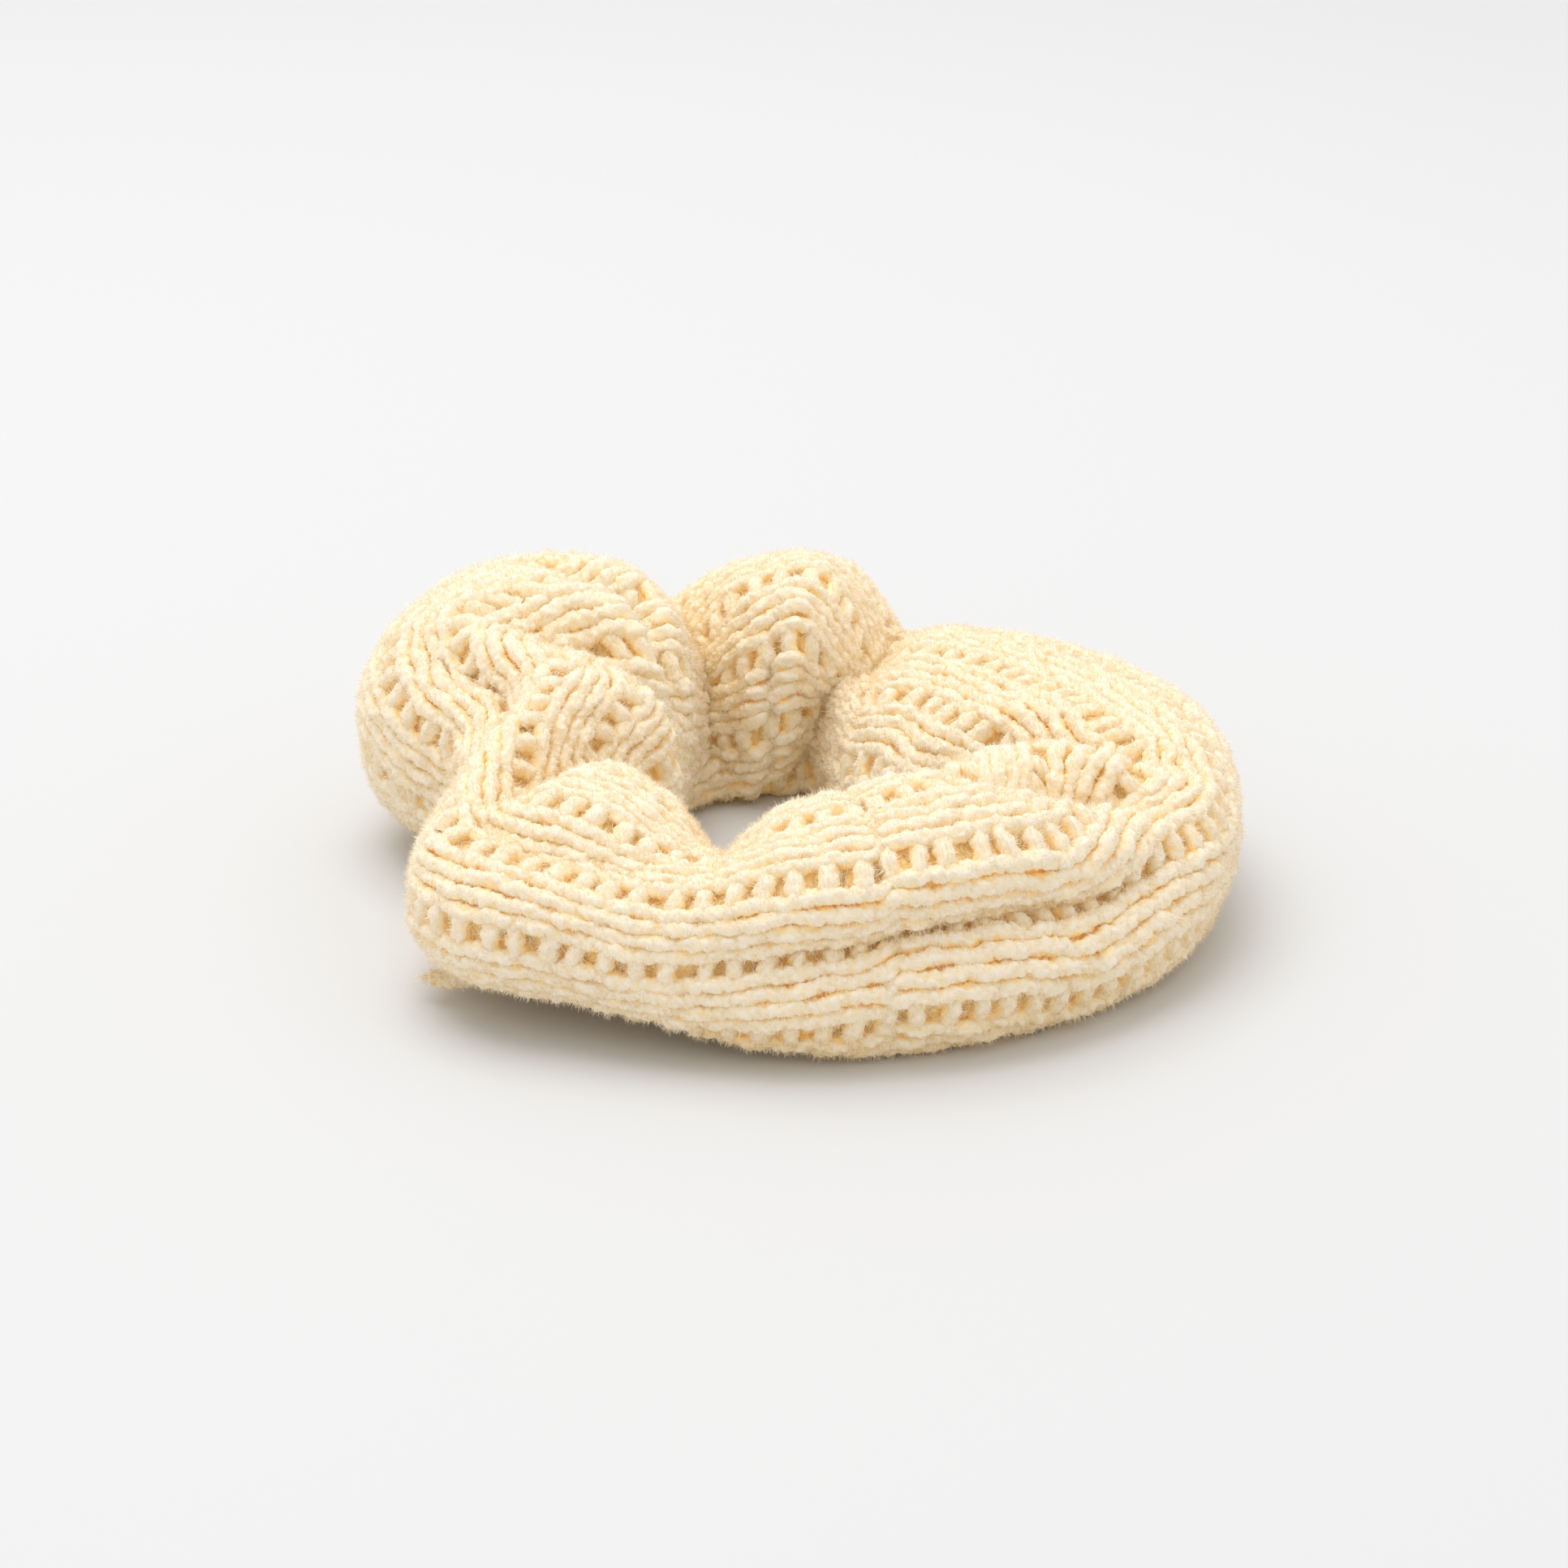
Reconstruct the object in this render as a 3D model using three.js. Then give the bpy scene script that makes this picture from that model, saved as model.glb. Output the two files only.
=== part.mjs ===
// A knitted scrunchie: a chenille sleeve gathered round a flat elastic loop.
// Millimetres, +Z up, lying on the plane z = 0, with the hair hole about the Z axis.
// The sleeve, the elastic and the lengthwise seam are cut into portions that slide apart
// along the loop, so that the whole ring can stretch open and close again.
import * as THREE from 'three';

// ---------- driving dimensions ----------
const PORTIONS = 12;                      // whole portions round the ring
const CLOSING_SEAM_ANGLE = -77;           // degrees from +X; where the sleeve's two ends are sewn
const SLEEVE_WALL = 2.4;                  // thickness of the chenille knit
const SLEEVE_STATIONS = 5;                // cross-sections in one whole portion
const SLEEVE_SIDES = 18;                  // corners of one cross-section
const REST_FLAT_DROP = 2.5;               // how much of the round underside is pressed flat
const PORTION_GAP = 0.3;                  // clearance between neighbouring portions

const ELASTIC_RADIUS = 35;                // loop radius of the relaxed elastic
const ELASTIC_WIDTH = 6;                  // its flat width, standing upright
const ELASTIC_THICKNESS = 1.2;
const ELASTIC_HEIGHT = 13;                // height of its middle above the ground
const ELASTIC_STATIONS = 4;

const SEAM_WIDTH = 3;                     // lengthwise seam allowance, standing into the sleeve
const SEAM_THICKNESS = 2;
const SEAM_CLEARANCE = 0.4;               // between the allowance and the sleeve's wall

const STITCH_LENGTH = 8;                  // bar-tack that joins the elastic's two ends
const STITCH_THICKNESS = 0.6;
const STITCH_HEIGHT = 5;
const STITCH_PORTION = 6;                 // the portion of the loop that holds the bar-tack

const CLOSING_THREAD_WIDTH = 1.4;         // thread of the closing seam, along the sleeve
const CLOSING_THREAD_DEPTH = 1.4;
const CLOSING_THREAD_RECESS = 0.8;        // how far the seam line sinks below the sleeve's skin

const YARN_DIAMETER = 2.2;
const YARN_SIDES = 8;
const YARN_STEPS = 6;
const YARN_TAIL_ROUTE = [                 // loose end, from under the raised front left
  [-40.4, -27.6, 1.6],
  [-43.0, -29.4, 1.4],
  [-45.4, -30.1, 1.3],
  [-47.2, -29.2, 1.5],
];

// The sleeve's cross-sections round the ring:
// angle in degrees, then inner radius, outer radius, underside and top in millimetres.
const SLEEVE_SECTIONS = [
  [-90, 25.0, 55.3, 0.0, 26.5],
  [-60, 23.0, 56.0, 0.0, 29.0],
  [-30, 17.0, 56.0, 0.0, 27.5],
  [0, 11.0, 55.6, 0.0, 26.0],
  [30, 11.0, 52.0, 0.0, 30.0],
  [60, 20.0, 52.0, 0.0, 28.0],
  [90, 24.0, 55.4, 0.0, 33.0],
  [113, 25.0, 54.0, 0.0, 24.0],
  [142, 21.0, 57.0, 0.0, 35.0],
  [170, 16.0, 55.9, 0.0, 31.0],
  [200, 17.0, 55.0, 2.0, 28.0],
  [228, 22.0, 56.0, 4.0, 26.0],
  [250, 25.0, 56.0, 1.0, 24.0],
];

const CREAM = 0xf6e3bf;
const THREAD_CREAM = 0xefdcb4;
const ELASTIC_WHITE = 0xe9e2d2;

// ---------- ring geometry ----------
const PORTION_ANGLE = 360 / PORTIONS;
const radians = THREE.MathUtils.degToRad;

// Smooth value of one column of SLEEVE_SECTIONS at any angle, periodic round the ring.
function sectionValue(angle, column) {
  const first = SLEEVE_SECTIONS[0][0];
  const turned = THREE.MathUtils.euclideanModulo(angle - first, 360) + first;
  const count = SLEEVE_SECTIONS.length;
  let index = count - 1;
  while (SLEEVE_SECTIONS[index][0] > turned) index -= 1;
  const at = (offset) => {
    const place = index + offset;
    const row = SLEEVE_SECTIONS[THREE.MathUtils.euclideanModulo(place, count)];
    return { angle: row[0] + 360 * Math.floor(place / count), value: row[column] };
  };
  const [before, left, right, after] = [at(-1), at(0), at(1), at(2)];
  const span = right.angle - left.angle;
  const t = (turned - left.angle) / span;
  const leftSlope = ((right.value - before.value) / (right.angle - before.angle)) * span;
  const rightSlope = ((after.value - left.value) / (after.angle - left.angle)) * span;
  const t2 = t * t;
  const t3 = t2 * t;
  return (2 * t3 - 3 * t2 + 1) * left.value + (t3 - 2 * t2 + t) * leftSlope
    + (3 * t2 - 2 * t3) * right.value + (t3 - t2) * rightSlope;
}

// A point at a radius and height in the upright plane through the axis at this angle,
// moved along the ring by a short distance.
function ringPoint(angle, radius, height, along = 0) {
  const a = radians(angle);
  return new THREE.Vector3(
    radius * Math.cos(a) - along * Math.sin(a),
    radius * Math.sin(a) + along * Math.cos(a),
    height,
  );
}

// The sleeve's outline at an angle, taken in by an inset, as a loop of points.
function sleeveOutline(angle, inset, along) {
  const inner = sectionValue(angle, 1) + inset;
  const outer = sectionValue(angle, 2) - inset;
  const underside = Math.max(sectionValue(angle, 3), 0) + inset;
  const top = sectionValue(angle, 4) - inset;
  const middle = (inner + outer) / 2;
  const halfWidth = (outer - inner) / 2;
  const halfHeight = (top - underside + REST_FLAT_DROP) / 2;
  const points = [];
  for (let side = 0; side < SLEEVE_SIDES; side += 1) {
    const turn = (2 * Math.PI * side) / SLEEVE_SIDES;
    const radius = middle + halfWidth * Math.cos(turn);
    const height = top - halfHeight + halfHeight * Math.sin(turn);
    points.push(ringPoint(angle, radius, Math.max(height, underside), along));
  }
  return points;
}

// ---------- lofts ----------
function geometryFrom(points, faces) {
  const geometry = new THREE.BufferGeometry();
  geometry.setAttribute('position', new THREE.Float32BufferAttribute(points.flatMap((p) => p.toArray()), 3));
  geometry.setIndex(faces.flat());
  geometry.computeVertexNormals();
  return geometry;
}

// Joins rings of points into a skin; the rings run anticlockwise seen along the loft.
function skinFaces(rings, sides, first) {
  const faces = [];
  for (let ring = 0; ring + 1 < rings; ring += 1) {
    for (let side = 0; side < sides; side += 1) {
      const next = (side + 1) % sides;
      const a = first + ring * sides + side;
      const b = first + (ring + 1) * sides + side;
      const c = first + (ring + 1) * sides + next;
      const d = first + ring * sides + next;
      faces.push([a, b, c], [a, c, d]);
    }
  }
  return faces;
}

function turnedRound(faces) {
  return faces.map(([a, b, c]) => [a, c, b]);
}

// A tube with a wall, open at both ends, from matching outer and inner rings.
function hollowLoft(outerRings, innerRings) {
  const sides = outerRings[0].length;
  const rings = outerRings.length;
  const innerFirst = rings * sides;
  const faces = [
    ...skinFaces(rings, sides, 0),
    ...turnedRound(skinFaces(rings, sides, innerFirst)),
  ];
  const rim = (ring) => {
    const flat = [];
    for (let side = 0; side < sides; side += 1) {
      const next = (side + 1) % sides;
      const [a, b] = [ring * sides + side, ring * sides + next];
      const [c, d] = [innerFirst + ring * sides + next, innerFirst + ring * sides + side];
      flat.push([a, b, c], [a, c, d]);
    }
    return flat;
  };
  faces.push(...rim(0), ...turnedRound(rim(rings - 1)));
  return geometryFrom([...outerRings, ...innerRings].flat(), faces);
}

// A solid bar from rings of four corners.
function barLoft(rings) {
  const corners = 4;
  const last = (rings.length - 1) * corners;
  const faces = [
    ...skinFaces(rings.length, corners, 0),
    [0, 1, 2], [0, 2, 3],
    [last, last + 2, last + 1], [last, last + 3, last + 2],
  ];
  return geometryFrom(rings.flat(), faces);
}

// Angles of the cross-sections of a portion, and how far its end sections are drawn in
// along the ring, so that it keeps clear of its neighbours.
function stationsOf(portion, stations) {
  return Array.from({ length: stations }, (_, index) => {
    const t = index / (stations - 1);
    const along = index === 0 ? portion.startInset : 0;
    const back = index === stations - 1 ? -portion.endInset : 0;
    return { angle: THREE.MathUtils.lerp(portion.start, portion.end, t), along: along + back };
  });
}

function rectangleRing(station, radius, height, thickness, width) {
  const corners = [[1, -1], [1, 1], [-1, 1], [-1, -1]];
  return corners.map(([r, z]) => ringPoint(
    station.angle,
    radius + (r * thickness) / 2,
    height + (z * width) / 2,
    station.along,
  ));
}

// ---------- sub-parts ----------
function sleevePortion(portion) {
  const stations = stationsOf(portion, portion.sleeveStations);
  return hollowLoft(
    stations.map((s) => sleeveOutline(s.angle, 0, s.along)),
    stations.map((s) => sleeveOutline(s.angle, SLEEVE_WALL, s.along)),
  );
}

function elasticPortion(portion) {
  const rings = stationsOf(portion, ELASTIC_STATIONS).map((s) => rectangleRing(
    s, ELASTIC_RADIUS, ELASTIC_HEIGHT, ELASTIC_THICKNESS, ELASTIC_WIDTH,
  ));
  return barLoft(rings);
}

// The seam allowance stands out of the wall on the hair-hole side, at mid height.
function seamPortion(portion) {
  const rings = stationsOf(portion, ELASTIC_STATIONS).map((s) => {
    const wall = sectionValue(s.angle, 1) + SLEEVE_WALL + SEAM_CLEARANCE;
    const height = (sectionValue(s.angle, 4) + sectionValue(s.angle, 3) - REST_FLAT_DROP) / 2;
    return rectangleRing(s, wall + SEAM_WIDTH / 2, height, SEAM_WIDTH, SEAM_THICKNESS);
  });
  return barLoft(rings);
}

function closingSeamThread() {
  const half = CLOSING_THREAD_WIDTH / 2;
  const ring = (inset, along) => sleeveOutline(CLOSING_SEAM_ANGLE, inset, along);
  const bottom = CLOSING_THREAD_RECESS + CLOSING_THREAD_DEPTH;
  return hollowLoft(
    [ring(CLOSING_THREAD_RECESS, -half), ring(CLOSING_THREAD_RECESS, half)],
    [ring(bottom, -half), ring(bottom, half)],
  );
}

function elasticJoinStitch() {
  const angle = CLOSING_SEAM_ANGLE + STITCH_PORTION * PORTION_ANGLE;
  const sag = ELASTIC_RADIUS * (1 - Math.cos(radians(PORTION_ANGLE / 2 / (ELASTIC_STATIONS - 1))));
  const radius = ELASTIC_RADIUS + ELASTIC_THICKNESS / 2 + sag + PORTION_GAP + STITCH_THICKNESS / 2;
  const rings = [-STITCH_LENGTH / 2, STITCH_LENGTH / 2].map((along) => rectangleRing(
    { angle, along }, radius, ELASTIC_HEIGHT, STITCH_THICKNESS, STITCH_HEIGHT,
  ));
  return barLoft(rings);
}

function yarnTail() {
  const outline = new THREE.Shape(Array.from({ length: YARN_SIDES }, (_, side) => {
    const turn = (2 * Math.PI * side) / YARN_SIDES;
    return new THREE.Vector2(Math.cos(turn), Math.sin(turn)).multiplyScalar(YARN_DIAMETER / 2);
  }));
  const route = new THREE.CatmullRomCurve3(YARN_TAIL_ROUTE.map((p) => new THREE.Vector3(...p)));
  return new THREE.ExtrudeGeometry(outline, { steps: YARN_STEPS, extrudePath: route });
}

// ---------- assembly ----------
const chenille = () => new THREE.MeshStandardMaterial({ color: CREAM, roughness: 1, metalness: 0 });
const thread = () => new THREE.MeshStandardMaterial({ color: THREAD_CREAM, roughness: 0.9, metalness: 0 });
const elastic = () => new THREE.MeshStandardMaterial({ color: ELASTIC_WHITE, roughness: 0.7, metalness: 0 });

const scrunchie = new THREE.Group();

function addPart(name, geometry, material) {
  const mesh = new THREE.Mesh(geometry, material);
  mesh.name = name;
  scrunchie.add(mesh);
}

// The ring is cut at the closing seam, so it starts and ends with half a portion.
function portionsOfRing() {
  const half = PORTION_ANGLE / 2;
  const gap = PORTION_GAP / 2;
  const seamGap = CLOSING_THREAD_WIDTH / 2 + PORTION_GAP;
  const halfStations = Math.ceil(SLEEVE_STATIONS / 2);
  const portions = [{
    name: 'start',
    start: CLOSING_SEAM_ANGLE,
    end: CLOSING_SEAM_ANGLE + half,
    startInset: seamGap,
    endInset: gap,
    sleeveStations: halfStations,
  }];
  for (let index = 1; index < PORTIONS; index += 1) {
    const middle = CLOSING_SEAM_ANGLE + index * PORTION_ANGLE;
    portions.push({
      name: String(index).padStart(2, '0'),
      start: middle - half,
      end: middle + half,
      startInset: gap,
      endInset: gap,
      sleeveStations: SLEEVE_STATIONS,
    });
  }
  portions.push({
    name: 'end',
    start: CLOSING_SEAM_ANGLE + 360 - half,
    end: CLOSING_SEAM_ANGLE + 360,
    startInset: gap,
    endInset: seamGap,
    sleeveStations: halfStations,
  });
  return portions;
}

for (const portion of portionsOfRing()) {
  addPart(`sleeve_${portion.name}`, sleevePortion(portion), chenille());
  addPart(`elastic_band_${portion.name}`, elasticPortion(portion), elastic());
  addPart(`lengthwise_seam_${portion.name}`, seamPortion(portion), thread());
}
addPart('closing_seam_thread', closingSeamThread(), thread());
addPart('elastic_join_stitch', elasticJoinStitch(), thread());
addPart('yarn_tail', yarnTail(), chenille());

export default scrunchie;
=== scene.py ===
"""A cream chenille scrunchie lying on a pale studio floor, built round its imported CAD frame.

Lengths are in millimetres and angles in degrees, except for the stage, which is in metres;
meshes are written in metres. A spot on the sleeve is given by its angle round the ring and its
turn round the tube, where a turn of 0 is the outside of the ring, 90 the top and 180 the hair
hole. The sleeve's skin is a grid of stations round the ring and places round the tube.
"""
import math

import bpy
import numpy as np
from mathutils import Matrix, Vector


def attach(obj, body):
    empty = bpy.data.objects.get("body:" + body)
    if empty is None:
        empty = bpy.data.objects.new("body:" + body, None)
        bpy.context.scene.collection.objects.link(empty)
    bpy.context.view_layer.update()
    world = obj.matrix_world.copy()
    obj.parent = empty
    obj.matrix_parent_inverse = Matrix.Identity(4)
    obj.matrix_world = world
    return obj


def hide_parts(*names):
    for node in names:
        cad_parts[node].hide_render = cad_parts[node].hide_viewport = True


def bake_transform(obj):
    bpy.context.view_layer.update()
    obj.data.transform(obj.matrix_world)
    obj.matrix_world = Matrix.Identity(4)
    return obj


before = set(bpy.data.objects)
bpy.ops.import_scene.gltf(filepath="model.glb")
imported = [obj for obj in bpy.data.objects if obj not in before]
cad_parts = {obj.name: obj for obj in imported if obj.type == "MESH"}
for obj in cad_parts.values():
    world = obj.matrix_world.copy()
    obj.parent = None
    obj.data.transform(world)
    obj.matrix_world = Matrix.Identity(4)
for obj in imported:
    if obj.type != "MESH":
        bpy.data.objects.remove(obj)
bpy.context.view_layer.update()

MM = 0.001

# ---------- the ring ----------
PORTIONS = 12
CLOSING_SEAM_ANGLE = -77.0
PORTION_ANGLE = 360.0 / PORTIONS
LOOP_RADIUS = 38.0            # circle through the middles of the sliding portions
BLEND_SHARE = 0.95            # the part of a portion's width at the hair hole that stretches
BLEND_MARGIN = 1.0            # how far outside the inner radius that width is taken
FLAT_DROP = 2.5               # how far the sections are cut off flat by the table
FLOOR_ROUNDING = 1.0          # how gradually they turn flat there
SQUARENESS = 0.86             # 1 is a round section, less is a squarer one
TABLE_GAP = 0.03              # nothing goes lower than this over the table

# Cross-sections of the sleeve: angle, inner radius, outer radius, underside, top.
SECTIONS = [
    (-90, 24.0, 52.8, 1.0, 24.8),
    (-77, 24.0, 53.0, 0.0, 26.7),
    (-62, 22.5, 54.0, 0.0, 27.6),
    (-46, 21.5, 55.0, 0.0, 25.2),
    (-30, 19.0, 55.5, 0.0, 23.5),
    (-15, 17.0, 54.8, 0.0, 23.6),
    (0, 13.0, 52.6, 0.0, 22.8),
    (15, 11.5, 50.8, 0.0, 22.2),
    (30, 12.0, 48.8, 0.0, 21.6),
    (45, 13.0, 48.0, 0.0, 21.2),
    (60, 13.5, 48.8, 0.0, 21.0),
    (70, 16.0, 50.5, 0.0, 22.8),
    (77, 19.5, 52.5, 0.0, 27.2),
    (86, 22.5, 54.0, 0.0, 29.5),
    (99, 23.5, 53.5, 0.0, 28.2),
    (111, 24.0, 52.5, 0.0, 26.5),
    (122, 22.5, 54.5, 0.0, 30.0),
    (140, 19.0, 57.2, 0.0, 34.0),
    (155, 16.0, 57.6, 1.0, 34.0),
    (166, 14.5, 56.0, 3.0, 32.0),
    (174, 14.0, 50.5, 4.5, 30.5),
    (183, 14.0, 42.5, 5.0, 29.5),
    (191, 14.5, 41.0, 4.0, 28.5),
    (199, 15.5, 42.5, 3.0, 27.0),
    (208, 17.0, 48.5, 3.5, 25.0),
    (217, 19.0, 54.8, 4.5, 23.6),
    (228, 21.5, 56.6, 4.8, 23.4),
    (240, 24.0, 53.4, 4.8, 22.6),
    (253, 24.5, 52.2, 3.4, 21.2),
]

# How far the top of the sleeve leans out from the hair hole: angle, mm.
LEAN = [
    (-90, 0.0), (-35, 0.0), (-15, 3.0), (5, 8.0), (30, 9.5), (52, 7.5), (68, 3.0), (80, 0.0),
    (120, 0.0), (160, 0.0), (200, 0.0), (235, 0.0),
]

FOLD_STEPS = 8                # steps between two spots of a fold
VALLEY_SHARPNESS = 1.6        # 1 is a V-shaped valley, more is a flatter rim
DEEPEST_SHRINK = 0.7          # the most of a section's radius that folds take away

# Folds of the gathered sleeve: half width in mm, then the spots that each runs through as
# (angle, turn, depth in mm). A negative depth is a ridge.
FOLDS = [
    # between the back lobe and the left back lobe
    (9.0, [(114, 20, 2), (112, 70, 5), (111, 100, 8), (111, 150, 9), (112, 200, 6)]),
    # between the back lobe and the right back lobe
    (8.0, [(72, 20, 2), (71, 60, 6), (72, 95, 9), (75, 130, 10), (80, 175, 10), (85, 220, 7)]),
    # between the right back lobe and the scalloped fold before it
    (7.0, [(-14, 55, 1), (-16, 78, 7), (-13, 96, 14), (-6, 112, 17), (0, 132, 17), (-2, 170, 13),
           (-8, 205, 8)]),
    # behind the front band, down into the hollow at its right end
    (6.5, [(-66, 125, 4), (-56, 112, 6), (-46, 97, 8), (-38, 82, 10), (-32, 68, 7), (-27, 54, 2)]),
    # between the two inner left lobes
    (7.5, [(217, 76, 1.5), (216, 88, 5), (211, 105, 7), (209, 120, 9), (211, 140, 9), (214, 205, 5)]),
    # between the upper inner left lobe and the ridge above it
    (7.0, [(166, 88, 2), (163, 100, 5), (161, 120, 8), (162, 145, 9), (164, 175, 8), (166, 210, 5)]),
    # the crease that runs down the left back lobe
    (6.0, [(143, 72, 1), (140, 88, 5), (137, 102, 9), (134, 116, 9), (136, 135, 6), (140, 170, 4)]),
    # the crease down the inside of the back lobe
    (6.0, [(95, 120, 0.5), (94, 140, 2.5), (96, 165, 3.5), (95, 210, 3)]),
    # left of the front band's bumps
    (8.0, [(-100, 75, 1), (-101, 95, 3), (-104, 130, 5), (-108, 180, 5)]),
    # the pinch at the closing seam
    (2.6, [(-77, -30, 1.2), (-77, 40, 1.2), (-77, 75, 1.4), (-77, 110, 1.6), (-77, 190, 1.6)]),
    # between the upper and the lower roll of the front band
    (6.5, [(-106, 8, 0.5), (-95, 10, 2.5), (-85, 12, 4.5), (-75, 14, 6), (-60, 16, 6.5),
           (-45, 17, 5.5), (-35, 22, 2)]),
    # between the front band and the lower inner left lobe
    (6.0, [(252, 62, 0.5), (242, 60, 2), (230, 58, 3), (220, 58, 2.5), (212, 52, 1)]),
    # the ridge that winds round the inner left lobes
    (6.0, [(163, 72, -1), (172, 78, -2), (192, 83, -2.5), (205, 75, -2.5), (212, 62, -2),
           (219, 45, -1.5)]),
    # outside that ridge
    (7.0, [(168, 55, 1), (180, 60, 2.5), (192, 58, 2.5), (203, 50, 1.5)]),
    # the lower inner left lobe
    (11.0, [(224, 105, -2.5), (235, 100, -2.5)]),
    # the scalloped fold
    (6.0, [(-42, 118, -0.5), (-36, 108, -1.5), (-27, 92, -2), (-22, 75, -1)]),
]

# ---------- the knit ----------
ROWS = 9                      # ladder rows round the tube
CORDS_BETWEEN = 4             # chenille cords between two ladder rows
CORD_PITCH = 2.28
LADDER_HEIGHT = 2.98
ROW_PITCH = CORDS_BETWEEN * CORD_PITCH + LADDER_HEIGHT
GIRTH = ROWS * ROW_PITCH      # of the sleeve where nothing crowds its cords
CROWDING = (0.82, 1.06)       # the thinnest and thickest cords where the sleeve is slim or wide
CORD_RADIUS = 1.12
CORD_LIFT = 0.25              # the middle of the cords over the skin
CORD_SIDES = 20
CORD_STEP = 0.27
BAR_PITCH = 3.7
BAR_RADIUS = 1.08
BAR_OVERLAP = 0.4             # how far a bar goes on under the cords at its ends
BAR_LEAN = 0.7                # how far its ends may shift along the row, in stations
BAR_POINTS = 13
BAR_SIDES = 14
ROW_STEP = 0.5                # steps in which a ladder row is measured
GROUND_DROP = 0.35            # the thread ground under the middle of the cords
SEAM_JOG = 1.6                # how far the cords miss each other at the closing seam
JOG_STEP = 0.7                # degrees in which they shift there
JOG_FADE = 20                 # degrees in which they come back
WINDOW_THREAD_SPACING = 0.62
WINDOW_THREAD_RADIUS = 0.075
WINDOW_THREAD_POINTS = 8
SLANTED_SHARE = 0.3           # the part of the window threads that run slanted
LOOP_GIRTH = 240.0            # once round the ring through the middle of the tube

# How the knit turns round the tube along the ring: angle, place of one ladder row in rows up
# from the underside of the sleeve.
KNIT_TURN = [
    (-90, 2.50), (-77, 2.56), (-62, 2.52), (-50, 2.43), (-30, 2.80), (-18, 2.88), (-6, 3.26),
    (4, 3.58), (18, 3.68), (50, 3.62), (75, 3.84), (100, 4.02), (148, 3.86), (155, 3.65),
    (163, 3.25), (171, 3.05), (180, 2.67), (190, 2.52), (215, 2.36), (232, 2.25), (242, 2.25),
    (253, 2.42), (262, 2.48),
]

# ---------- chenille ----------
PILE_PER_MM2 = 11.0           # pile fibres on the outward side of a cord
PILE_SHARE = 0.62             # the part of a cord's girth that they stand on
PILE_SPREAD = 0.24            # how they spread over it, as a normal deviation
PILE_LENGTH = (0.3, 0.72)
PILE_WIDTH = 0.06
PILE_SLOPE = (0.35, 1.15)     # radians that a fibre leans from straight out
PILE_SUNK = 0.15              # how deep it starts in the cord
PILE_TAPER = 0.3              # the width of its tip, as a part of its root's
CLUMP_WIDTH = 0.85            # clumps of pile along a cord
CLUMP_SWELL = 0.62            # how far they stand out, as a part of the cord's radius
CLUMP_MIDDLE = 0.42           # the clump value that leaves the cord's radius as it is
GRAIN_SWELL = 0.1             # finer lumps over the clumps, and their size in clumps
GRAIN_SIZE = 0.5

# The painted shade of the pile goes from 0, deep between the cords, to 1 at its outermost tips:
# golden where it is low, for the shade and the light scattered between the cords, and painted
# lightest at the tips.
SHADE_AT_SIDES = 0.32
SHADE_OUTWARD = 0.38          # painted lighter by this on the outward side, where more light falls
SHADE_OF_CLUMPS = 0.9         # painted lighter by this for a clump as high as the cord's radius
SHADE_OF_TIPS = 0.45          # painted lighter by this at the tip of a fibre
SHADE_SPREAD = 0.1            # from fibre to fibre

# ---------- inside the sleeve, and its loose end ----------
ELASTIC_WIDTH = 6.0
ELASTIC_THICKNESS = 1.2
ELASTIC_RIBS = 5
ELASTIC_JOIN_PORTION = 6
TACK_HALF_WIDTH = 2.0         # the bar tack at that join
TACK_POINTS = 13
TACK_THREAD_RADIUS = 0.17
SEAM_PLACE = 0.74             # the lengthwise seam, in parts of the girth up from the underside
SEAM_DEPTH = 3.0              # how far inside the skin it lies
SEAM_CORD_RADIUS = 0.9
OVERLOCK_TURNS = 120
OVERLOCK_REACH = (2.1, 1.3)   # half the width and half the height of its loops
OVERLOCK_RADIUS = 0.14
WHIP_SPAN = (0.16, 0.97)      # where the closing stitches run, in parts of the girth
WHIP_SPACING = 0.021
WHIP_LENGTH = 2.6             # half a stitch, in stations
WHIP_RADIUS = 0.13

# The yarn tail: the points that it runs through, and its radius at parts of its length.
YARN_TAIL = [(-32.6, -30.4, 6.4), (-35.4, -32.6, 5.0), (-38.0, -33.6, 3.8), (-40.4, -33.4, 3.1),
             (-42.6, -32.6, 2.9)]
TAIL_RADII = ([0, 0.6, 1], [1.5, 1.4, 0.8])
TAIL_PAINTED_LIGHTER = 0.3              # raises its painted shade over the other cords', a painted highlight on the tail in the body's shadow
FRAYED_STRANDS = 26
FRAYED_RADIUS = 0.06

# ---------- how fine the skin is ----------
STATIONS = 720
SIDES = 48 * ROWS             # places round the tube
RAW_SIDES = 288               # spots of a section before they are spaced evenly
PLACE_BLUR = 4                # smoothing along the ring of the even spacing, in raw stations
SKIN_BLUR = (1.5, 2)          # and of the skin, in stations and in places
MIDDLE_BLUR = 6               # and of the path through its middle, in every other station
LATTICE = 32                  # random values along each side of a block of noise


# ---------- the sleeve's skin ----------
def ring_value(angle, column, rows=SECTIONS):
    """One column of a table of rows at any angles, smooth and periodic round the ring."""
    knots = np.array([row[0] for row in rows], float)
    values = np.array([row[column] for row in rows], float)
    knots = np.concatenate([knots - 360, knots, knots + 360])
    values = np.tile(values, 3)
    slopes = np.gradient(values, knots)
    turned = (np.asarray(angle, float) + 90) % 360 - 90
    index = np.searchsorted(knots, turned, side="right") - 1
    span = knots[index + 1] - knots[index]
    t = (turned - knots[index]) / span
    return (
        (2 * t**3 - 3 * t**2 + 1) * values[index]
        + (t**3 - 2 * t**2 + t) * slopes[index] * span
        + (3 * t**2 - 2 * t**3) * values[index + 1]
        + (t**3 - t**2) * slopes[index + 1] * span
    )


def squared(value):
    """A cosine or sine drawn out a little, which makes a round section slightly square."""
    return np.sign(value) * np.abs(value) ** SQUARENESS


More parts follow.
